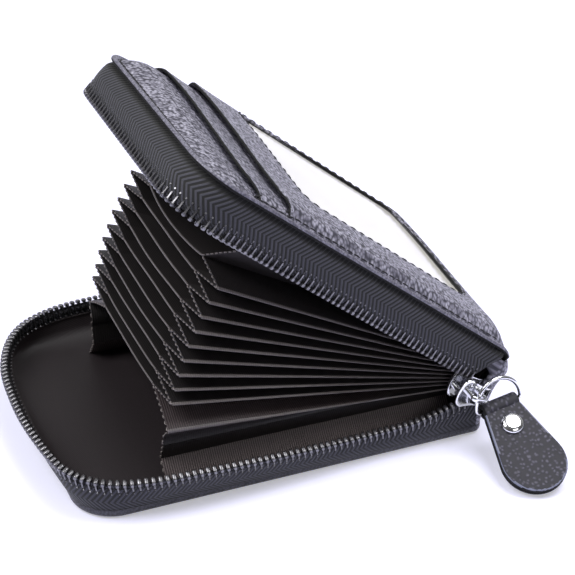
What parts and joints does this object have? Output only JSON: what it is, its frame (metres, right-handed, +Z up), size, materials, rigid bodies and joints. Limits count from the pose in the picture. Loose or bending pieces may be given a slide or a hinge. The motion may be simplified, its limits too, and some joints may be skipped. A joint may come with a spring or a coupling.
{
  "type": "zip card wallet",
  "caption": "Small zip-round leather card wallet with a fanning row of card pockets, card slots and a clear window on the lid, and a riveted leather zip pull on a D-ring.",
  "frame": {"origin": "centre of the flat underside of the base cover, on the surface that the wallet stands on", "axes": "+X to the spine, so the card fan's mouth faces -X; +Z up from the base; the zip pull is on the -Y side"},
  "size_m": [0.1271, 0.1106, 0.0905],
  "materials": {
    "grain_leather": "pebbled, satin",
    "tab_leather": "pebbled, satin",
    "stiff_board": "matt",
    "lining_cloth": "satin weave",
    "zip_tape": "herringbone weave",
    "dark_teeth": "black nickel",
    "gusset_cloth": "fine twill",
    "leaf_cloth": "fine twill",
    "window_film": "gloss",
    "bright_nickel": "polished nickel"
  },
  "bodies": {
    "base": {"base_cover": "grain_leather", "base_board": "stiff_board", "base_lining": "lining_cloth", "spine_lower": "grain_leather", "spine_lining_lower": "lining_cloth", "base_zip_tape": "zip_tape", "base_zip_chain": "dark_teeth", "front_gusset": "gusset_cloth", "back_gusset": "gusset_cloth"},
    "lid": {"lid_cover": "grain_leather", "lid_board": "stiff_board", "lid_lining": "lining_cloth", "slot_panel": "grain_leather", "window_film": "window_film", "window_panel": "grain_leather", "spine_upper": "grain_leather", "spine_lining_upper": "lining_cloth", "lid_zip_tape": "zip_tape", "lid_zip_chain": "dark_teeth"},
    "leaf_01": {"leaf_01": "leaf_cloth"},
    "leaf_02": {"leaf_02": "leaf_cloth"},
    "leaf_03": {"leaf_03": "leaf_cloth"},
    "leaf_04": {"leaf_04": "leaf_cloth"},
    "leaf_05": {"leaf_05": "leaf_cloth"},
    "leaf_06": {"leaf_06": "leaf_cloth"},
    "leaf_07": {"leaf_07": "leaf_cloth"},
    "leaf_08": {"leaf_08": "leaf_cloth"},
    "leaf_09": {"leaf_09": "leaf_cloth"},
    "leaf_10": {"leaf_10": "leaf_cloth"},
    "zip_end": {"zip_stop": "dark_teeth"},
    "slider": {"slider_body": "bright_nickel", "slider_bridge": "bright_nickel"},
    "ring": {"pull_ring": "bright_nickel"},
    "tab": {"pull_tab": "tab_leather", "rivet_cap": "bright_nickel", "rivet_back": "bright_nickel"}
  },
  "joints": [
    {"name": "lid_hinge", "type": "hinge", "parent": "base", "child": "lid", "pos_m": [0.055, 0, 0.013], "axis": [0, -1, 0], "range_deg": [0, 38], "deforming": ["front_gusset", "back_gusset"]},
    {"name": "leaf_01_hinge", "type": "hinge", "parent": "base", "child": "leaf_01", "pos_m": [0.055, 0, 0.013], "axis": [0, -1, 0], "range_deg": [0, 12.36]},
    {"name": "leaf_02_hinge", "type": "hinge", "parent": "base", "child": "leaf_02", "pos_m": [0.055, 0, 0.013], "axis": [0, -1, 0], "range_deg": [0, 14.15]},
    {"name": "leaf_03_hinge", "type": "hinge", "parent": "base", "child": "leaf_03", "pos_m": [0.055, 0, 0.013], "axis": [0, -1, 0], "range_deg": [0, 15.93]},
    {"name": "leaf_04_hinge", "type": "hinge", "parent": "base", "child": "leaf_04", "pos_m": [0.055, 0, 0.013], "axis": [0, -1, 0], "range_deg": [0, 17.72]},
    {"name": "leaf_05_hinge", "type": "hinge", "parent": "base", "child": "leaf_05", "pos_m": [0.055, 0, 0.013], "axis": [0, -1, 0], "range_deg": [0, 19.5]},
    {"name": "leaf_06_hinge", "type": "hinge", "parent": "base", "child": "leaf_06", "pos_m": [0.055, 0, 0.013], "axis": [0, -1, 0], "range_deg": [0, 21.29]},
    {"name": "leaf_07_hinge", "type": "hinge", "parent": "base", "child": "leaf_07", "pos_m": [0.055, 0, 0.013], "axis": [0, -1, 0], "range_deg": [0, 23.08]},
    {"name": "leaf_08_hinge", "type": "hinge", "parent": "base", "child": "leaf_08", "pos_m": [0.055, 0, 0.013], "axis": [0, -1, 0], "range_deg": [0, 24.86]},
    {"name": "leaf_09_hinge", "type": "hinge", "parent": "base", "child": "leaf_09", "pos_m": [0.055, 0, 0.013], "axis": [0, -1, 0], "range_deg": [0, 26.65]},
    {"name": "leaf_10_hinge", "type": "hinge", "parent": "base", "child": "leaf_10", "pos_m": [0.055, 0, 0.013], "axis": [0, -1, 0], "range_deg": [0, 28.43]},
    {"name": "zip_end_hinge", "type": "hinge", "parent": "base", "child": "zip_end", "pos_m": [0.055, 0, 0.013], "axis": [0, -1, 0], "range_deg": [0, 24.2]},
    {"name": "slider_slide", "type": "slide", "parent": "zip_end", "child": "slider", "axis": [-0.9135, 0, 0.4067], "range_m": [0, 0.0202]},
    {"name": "pull_ring_swing", "type": "hinge", "parent": "slider", "child": "ring", "pos_m": [0.04865, -0.0428, 0.01583], "axis": [-0.9135, 0, 0.4067], "range_deg": [0, 20]},
    {"name": "pull_tab_lift", "type": "hinge", "parent": "ring", "child": "tab", "pos_m": [0.05489, -0.04319, 0.01207], "axis": [-0.9848, -0.0182, -0.1727], "range_deg": [0, 65]}
  ],
  "couplings": [
    {"joint": "leaf_01_hinge", "follows": "lid_hinge", "ratio": 0.32},
    {"joint": "leaf_02_hinge", "follows": "lid_hinge", "ratio": 0.367},
    {"joint": "leaf_03_hinge", "follows": "lid_hinge", "ratio": 0.414},
    {"joint": "leaf_04_hinge", "follows": "lid_hinge", "ratio": 0.461},
    {"joint": "leaf_05_hinge", "follows": "lid_hinge", "ratio": 0.508},
    {"joint": "leaf_06_hinge", "follows": "lid_hinge", "ratio": 0.555},
    {"joint": "leaf_07_hinge", "follows": "lid_hinge", "ratio": 0.602},
    {"joint": "leaf_08_hinge", "follows": "lid_hinge", "ratio": 0.649},
    {"joint": "leaf_09_hinge", "follows": "lid_hinge", "ratio": 0.696},
    {"joint": "leaf_10_hinge", "follows": "lid_hinge", "ratio": 0.743},
    {"joint": "zip_end_hinge", "follows": "lid_hinge", "ratio": 0.63158},
    {"joint": "slider_slide", "follows": "lid_hinge", "m_per_rad": 0.030156}
  ]
}
